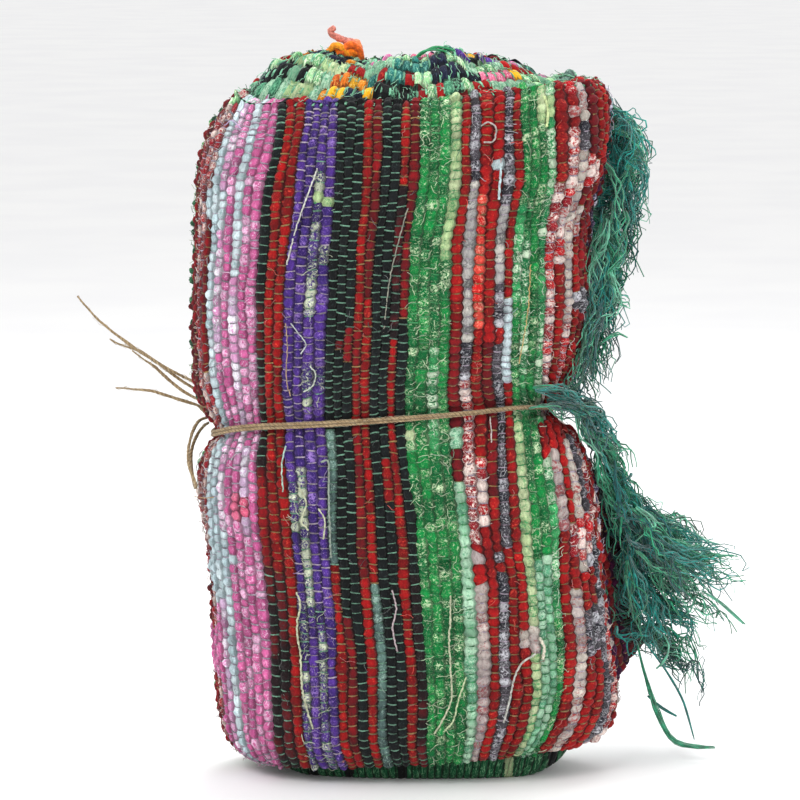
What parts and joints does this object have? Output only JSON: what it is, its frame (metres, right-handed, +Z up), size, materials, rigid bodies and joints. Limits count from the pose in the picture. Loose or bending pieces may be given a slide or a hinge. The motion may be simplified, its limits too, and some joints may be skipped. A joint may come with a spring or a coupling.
{
  "type": "rolled rag rug tied with twine",
  "caption": "Handwoven rag rug, folded in half, rolled up, stood on its fold and tied at the waist with doubled jute twine, its fringed end loose at one side.",
  "frame": {"origin": "middle of the base of the rug with its fringe, wrap and knot, on the surface that it stands on", "axes": "+Z up the roll; the face with the loose end on its right looks along -Y, and that loose end stands out towards +X"},
  "size_m": [0.5738, 0.2192, 0.6284],
  "materials": {
    "rag_weave": "matt, hand woven from rags in many-coloured stripes",
    "fringe_cotton": "matt, frayed cotton threads",
    "orange_rag": "matt, raw-edged rag",
    "jute_twine": "matt, twisted and hairy"
  },
  "bodies": {
    "root": {"rug_roll": "rag_weave", "rug_loose_end": "rag_weave", "rug_fringe": "fringe_cotton", "rag_end": "orange_rag", "twine_wrap": "jute_twine", "twine_knot": "jute_twine", "twine_end_a": "jute_twine", "twine_end_b": "jute_twine", "twine_end_c": "jute_twine", "twine_end_d": "jute_twine", "twine_loop": "jute_twine"}
  },
  "joints": []
}
